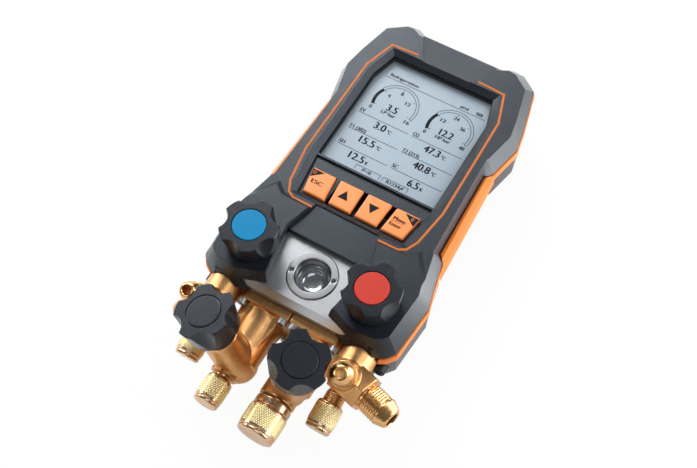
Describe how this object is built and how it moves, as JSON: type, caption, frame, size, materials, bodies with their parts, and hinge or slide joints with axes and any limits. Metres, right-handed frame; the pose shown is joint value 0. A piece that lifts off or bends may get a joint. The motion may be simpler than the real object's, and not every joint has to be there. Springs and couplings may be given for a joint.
{
  "type": "refrigerant manifold gauge",
  "caption": "Digital refrigerant manifold gauge with display, keys, hand valves, sight glass, brass flare ports with knurled caps, and a folding hook on the back.",
  "frame": {"origin": "on the flat back, on the middle plane, under the display's lower edge", "axes": "+X to the right seen from the front, +Y towards the head with the hook, +Z out of the display"},
  "size_m": [0.133, 0.2491, 0.0747],
  "materials": {
    "charcoal_plastic": "fine-textured moulded housing",
    "orange_band": "satin moulded band and line",
    "orange_grip": "soft moulded grip",
    "clear_window": "flat clear cover",
    "black_frame": "black mask round the display",
    "lcd_glass": "pale grey-blue display with dark segments",
    "board_green": "solder mask",
    "grey_silicone": "moulded silicone",
    "orange_key": "satin key tops with printed legends",
    "cell_sleeve": "wrapped cells",
    "plated_steel": "nickel plated",
    "dark_plastic": "moulded loop",
    "black_rubber": "soft black rubber",
    "brushed_block": "straight brushed",
    "sight_glass": "polished round glass",
    "cast_brass": "fine blasted forging with machined threads",
    "turned_brass": "turned",
    "knurled_brass": "straight and diamond knurl between polished bands",
    "black_knob": "fine-textured hard plastic",
    "blue_disc": "satin insert",
    "red_disc": "satin insert"
  },
  "bodies": {
    "gauge": {"front_shell": "charcoal_plastic", "rear_shell": "charcoal_plastic", "seam_band": "orange_band", "grip_pad_left": "orange_grip", "grip_pad_right": "orange_grip", "trim_line_left": "orange_band", "trim_line_right": "orange_band", "display_window": "clear_window", "display_frame": "black_frame", "lcd_panel": "lcd_glass", "circuit_board": "board_green", "keypad_mat": "grey_silicone", "battery_cells": "cell_sleeve", "battery_contacts": "plated_steel", "hook_pin": "plated_steel", "case_screws": "plated_steel", "probe_socket_left": "black_rubber", "probe_socket_right": "black_rubber", "valve_block": "brushed_block", "sight_glass_ring": "brushed_block", "sight_glass_lens": "sight_glass", "sight_glass_seal": "black_rubber", "pressure_sensor_left": "plated_steel", "pressure_sensor_right": "plated_steel", "casting_left": "cast_brass", "casting_right": "cast_brass", "side_fitting_left": "cast_brass", "side_fitting_right": "cast_brass", "flange_screws": "plated_steel", "low_side_gland": "turned_brass", "high_side_gland": "turned_brass", "refrigerant_gland": "turned_brass", "vacuum_gland": "turned_brass"},
    "low_side_valve": {"low_side_knob": "black_knob", "low_side_disc": "blue_disc", "low_side_stem": "turned_brass"},
    "high_side_valve": {"high_side_knob": "black_knob", "high_side_disc": "red_disc", "high_side_stem": "turned_brass"},
    "refrigerant_valve": {"refrigerant_knob": "black_knob", "refrigerant_disc": "black_knob", "refrigerant_stem": "turned_brass"},
    "vacuum_valve": {"vacuum_knob": "black_knob", "vacuum_disc": "black_knob", "vacuum_stem": "turned_brass"},
    "key_escape_button": {"key_escape": "orange_key"},
    "key_up_button": {"key_up": "orange_key"},
    "key_down_button": {"key_down": "orange_key"},
    "key_menu_button": {"key_menu": "orange_key"},
    "low_side_port_cap": {"low_side_cap": "knurled_brass", "low_side_cap_seal": "black_rubber"},
    "refrigerant_port_cap": {"refrigerant_cap": "knurled_brass", "refrigerant_cap_seal": "black_rubber"},
    "vacuum_port_cap": {"vacuum_cap": "knurled_brass", "vacuum_cap_seal": "black_rubber"},
    "high_side_port_cap": {"high_side_cap": "knurled_brass", "high_side_cap_seal": "black_rubber"},
    "battery_lid": {"battery_cover": "charcoal_plastic"},
    "hook": {"hanging_hook": "dark_plastic"}
  },
  "joints": [
    {"name": "low_side_valve_turn", "type": "hinge", "parent": "gauge", "child": "low_side_valve", "pos_m": [-0.0359, -0.0633, 0.0659], "axis": [0, 0, 1], "range_deg": [0, 270]},
    {"name": "high_side_valve_turn", "type": "hinge", "parent": "gauge", "child": "high_side_valve", "pos_m": [0.0359, -0.0633, 0.0659], "axis": [0, 0, 1], "range_deg": [0, 270]},
    {"name": "refrigerant_valve_turn", "type": "hinge", "parent": "gauge", "child": "refrigerant_valve", "pos_m": [-0.0272, -0.1159, 0.0713], "axis": [-0.225, 0, 0.9744], "range_deg": [0, 270]},
    {"name": "vacuum_valve_turn", "type": "hinge", "parent": "gauge", "child": "vacuum_valve", "pos_m": [0.0268, -0.1142, 0.0713], "axis": [0.225, 0, 0.9744], "range_deg": [0, 270]},
    {"name": "key_escape_press", "type": "slide", "parent": "gauge", "child": "key_escape_button", "axis": [0, 0, -1], "range_m": [0, 0.0008], "stiffness_N_per_m": 700},
    {"name": "key_up_press", "type": "slide", "parent": "gauge", "child": "key_up_button", "axis": [0, 0, -1], "range_m": [0, 0.0008], "stiffness_N_per_m": 700},
    {"name": "key_down_press", "type": "slide", "parent": "gauge", "child": "key_down_button", "axis": [0, 0, -1], "range_m": [0, 0.0008], "stiffness_N_per_m": 700},
    {"name": "key_menu_press", "type": "slide", "parent": "gauge", "child": "key_menu_button", "axis": [0, 0, -1], "range_m": [0, 0.0008], "stiffness_N_per_m": 700},
    {"name": "low_side_cap_off", "type": "slide", "parent": "gauge", "child": "low_side_port_cap", "axis": [0, -0.9848, -0.1736], "range_m": [0, 0.022]},
    {"name": "refrigerant_cap_off", "type": "slide", "parent": "gauge", "child": "refrigerant_port_cap", "axis": [0, -1, 0], "range_m": [0, 0.022]},
    {"name": "vacuum_cap_off", "type": "slide", "parent": "gauge", "child": "vacuum_port_cap", "axis": [0, -1, 0], "range_m": [0, 0.022]},
    {"name": "high_side_cap_off", "type": "slide", "parent": "gauge", "child": "high_side_port_cap", "axis": [0, -0.9848, -0.1736], "range_m": [0, 0.022]},
    {"name": "battery_lid_off", "type": "slide", "parent": "gauge", "child": "battery_lid", "axis": [0, 0, -1], "range_m": [0, 0.02]},
    {"name": "hook_swing", "type": "hinge", "parent": "gauge", "child": "hook", "pos_m": [0, 0.084, 0.003], "axis": [1, 0, 0], "range_deg": [0, 180]}
  ]
}
